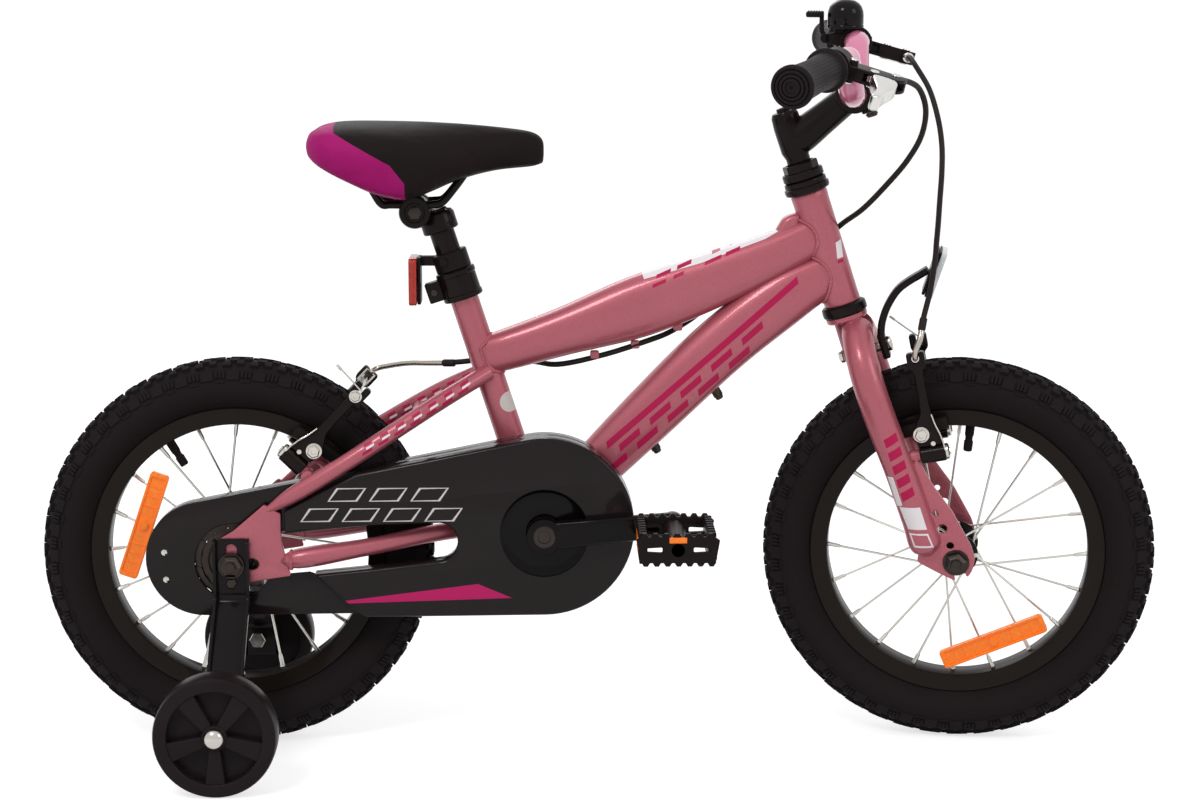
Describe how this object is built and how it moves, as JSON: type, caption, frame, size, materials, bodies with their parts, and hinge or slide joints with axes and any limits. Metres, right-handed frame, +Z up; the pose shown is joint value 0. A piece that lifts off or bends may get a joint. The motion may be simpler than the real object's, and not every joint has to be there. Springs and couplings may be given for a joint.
{
  "type": "children's bicycle",
  "caption": "Children's bicycle with stabiliser wheels, steering front fork, rim brakes with levers, turning cranks and pedals, full chain guard and adjustable padded saddle.",
  "frame": {"origin": "on the ground, under the middle of the bicycle's box", "axes": "+X forward, the way it rides; +Y to the rider's left; +Z up"},
  "size_m": [0.9941, 0.4982, 0.6625],
  "materials": {
    "frame_pink": "glossy pearl pink paint",
    "bar_pink": "glossy pink paint",
    "black_paint": "glossy black paint",
    "gloss_plastic": "glossy",
    "black_plastic": "satin moulded",
    "tyre": "matt",
    "grip": "matt",
    "steel": "bright",
    "dark_steel": "dull, oiled",
    "amber_lens": "glossy amber",
    "red_lens": "glossy red",
    "clear_lens": "glossy clear",
    "saddle_vinyl": "satin vinyl, charcoal with a magenta rear"
  },
  "bodies": {
    "frame": {"frame": "frame_pink", "headset_upper_cup": "black_paint", "headset_lower_cup": "black_paint", "bottom_bracket": "steel", "seat_clamp": "black_paint", "chain_guard": "gloss_plastic", "chain": "dark_steel", "rear_axle": "dark_steel", "rear_axle_nut_right": "dark_steel", "rear_axle_nut_left": "dark_steel", "stabiliser_bracket_right": "black_paint", "stabiliser_bracket_left": "black_paint", "stabiliser_bolt_right": "steel", "stabiliser_bolt_left": "steel", "rear_brake_cable": "black_plastic"},
    "seat": {"seat_post": "black_paint", "saddle_clamp": "black_paint", "saddle_rails": "dark_steel", "saddle": "saddle_vinyl", "rear_reflector_bracket": "black_plastic", "rear_reflector": "red_lens"},
    "steering": {"fork": "frame_pink", "headset_locknut": "black_paint", "stem": "black_paint", "handlebar": "bar_pink", "grip_right": "grip", "grip_left": "grip", "lever_mount_right": "black_plastic", "lever_mount_left": "black_plastic", "bell_base": "black_plastic", "bell_dome": "gloss_plastic", "front_reflector_bracket": "black_plastic", "front_reflector": "clear_lens", "front_axle": "dark_steel", "front_axle_nut_right": "dark_steel", "front_axle_nut_left": "dark_steel", "front_brake_cable": "black_plastic"},
    "front_wheel": {"front_tyre": "tyre", "front_rim": "black_paint", "front_hub_and_spokes": "steel", "front_wheel_reflector": "amber_lens"},
    "rear_wheel": {"rear_tyre": "tyre", "rear_rim": "black_paint", "rear_hub_and_spokes": "steel", "rear_wheel_reflector": "amber_lens"},
    "freewheel": {"rear_sprocket": "dark_steel"},
    "crank": {"crank_axle": "steel", "crank_arm_right": "black_paint", "crank_arm_left": "black_paint"},
    "right_pedal": {"pedal_right": "black_plastic"},
    "left_pedal": {"pedal_left": "black_plastic"},
    "right_lever": {"brake_lever_right": "steel"},
    "left_lever": {"brake_lever_left": "steel"},
    "front_arm_right": {"front_brake_arm_right": "black_plastic"},
    "front_arm_left": {"front_brake_arm_left": "black_plastic"},
    "rear_arm_right": {"rear_brake_arm_right": "black_plastic"},
    "rear_arm_left": {"rear_brake_arm_left": "black_plastic"},
    "bell_thumb": {"bell_lever": "black_plastic"},
    "right_trainer": {"training_wheel_right": "black_plastic"},
    "left_trainer": {"training_wheel_left": "black_plastic"}
  },
  "joints": [
    {"name": "steering_turn", "type": "hinge", "parent": "frame", "child": "steering", "pos_m": [0.21651, 0.00646, 0.39733], "axis": [-0.3074, 0, 0.9516], "range_deg": [-50, 70], "deforming": ["rear_brake_cable"]},
    {"name": "seat_height", "type": "slide", "parent": "frame", "child": "seat", "axis": [-0.309, 0, 0.9511], "range_m": [0, 0.06]},
    {"name": "front_wheel_spin", "type": "hinge", "parent": "steering", "child": "front_wheel", "pos_m": [0.32252, 0.00073, 0.17485], "axis": [0.1652, 0.9848, 0.0534], "continuous": true},
    {"name": "rear_wheel_spin", "type": "hinge", "parent": "frame", "child": "rear_wheel", "pos_m": [-0.323, 0.00646, 0.175], "axis": [0, 1, 0], "continuous": true},
    {"name": "crank_spin", "type": "hinge", "parent": "frame", "child": "crank", "pos_m": [-0.049, 0.00646, 0.203], "axis": [0, 1, 0], "continuous": true},
    {"name": "freewheel_spin", "type": "hinge", "parent": "frame", "child": "freewheel", "pos_m": [-0.323, 0.00646, 0.175], "axis": [0, 1, 0], "continuous": true},
    {"name": "pedal_right_spin", "type": "hinge", "parent": "crank", "child": "right_pedal", "pos_m": [0.06257, -0.12854, 0.21276], "axis": [0, 1, 0], "continuous": true},
    {"name": "pedal_left_spin", "type": "hinge", "parent": "crank", "child": "left_pedal", "pos_m": [-0.16057, 0.14146, 0.19324], "axis": [0, 1, 0], "continuous": true},
    {"name": "brake_lever_right_pull", "type": "hinge", "parent": "steering", "child": "right_lever", "pos_m": [0.2213, -0.14185, 0.60067], "axis": [-0.2341, 0.1962, -0.9522], "range_deg": [0, 16], "stiffness_Nm_per_rad": 0.6, "springref_deg": -17.19},
    {"name": "brake_lever_left_pull", "type": "hinge", "parent": "steering", "child": "left_lever", "pos_m": [0.26572, 0.12289, 0.61502], "axis": [0.2684, 0.0081, 0.9633], "range_deg": [0, 16], "stiffness_Nm_per_rad": 0.6, "springref_deg": -17.19},
    {"name": "front_brake_arm_right_pull", "type": "hinge", "parent": "steering", "child": "front_arm_right", "pos_m": [0.29287, -0.04312, 0.27006], "axis": [-0.9652, 0.1726, -0.1964], "range_deg": [0, 4.5]},
    {"name": "front_brake_arm_left_pull", "type": "hinge", "parent": "steering", "child": "front_arm_left", "pos_m": [0.30708, 0.04157, 0.27465], "axis": [0.9652, -0.1726, 0.1964], "range_deg": [0, 4.5]},
    {"name": "rear_brake_arm_right_pull", "type": "hinge", "parent": "frame", "child": "rear_arm_right", "pos_m": [-0.26898, -0.03654, 0.26456], "axis": [-0.7193, 0, 0.6947], "range_deg": [0, 4.5]},
    {"name": "rear_brake_arm_left_pull", "type": "hinge", "parent": "frame", "child": "rear_arm_left", "pos_m": [-0.26898, 0.04946, 0.26456], "axis": [0.7193, 0, -0.6947], "range_deg": [0, 4.5]},
    {"name": "bell_lever_press", "type": "hinge", "parent": "steering", "child": "bell_thumb", "pos_m": [0.20765, 0.098, 0.62813], "axis": [-0.1652, -0.9848, -0.0534], "range_deg": [0, 20], "stiffness_Nm_per_rad": 0.05, "springref_deg": -11.46},
    {"name": "training_wheel_right_spin", "type": "hinge", "parent": "frame", "child": "right_trainer", "pos_m": [-0.3265, -0.15804, 0.0525], "axis": [0, 1, 0], "continuous": true},
    {"name": "training_wheel_left_spin", "type": "hinge", "parent": "frame", "child": "left_trainer", "pos_m": [-0.3265, 0.17096, 0.0525], "axis": [0, 1, 0], "continuous": true}
  ],
  "couplings": [
    {"joint": "freewheel_spin", "follows": "crank_spin", "ratio": 1.75},
    {"joint": "front_brake_arm_right_pull", "follows": "brake_lever_left_pull", "ratio": 0.275},
    {"joint": "front_brake_arm_left_pull", "follows": "brake_lever_left_pull", "ratio": 0.275},
    {"joint": "rear_brake_arm_right_pull", "follows": "brake_lever_right_pull", "ratio": 0.275},
    {"joint": "rear_brake_arm_left_pull", "follows": "brake_lever_right_pull", "ratio": 0.275}
  ]
}
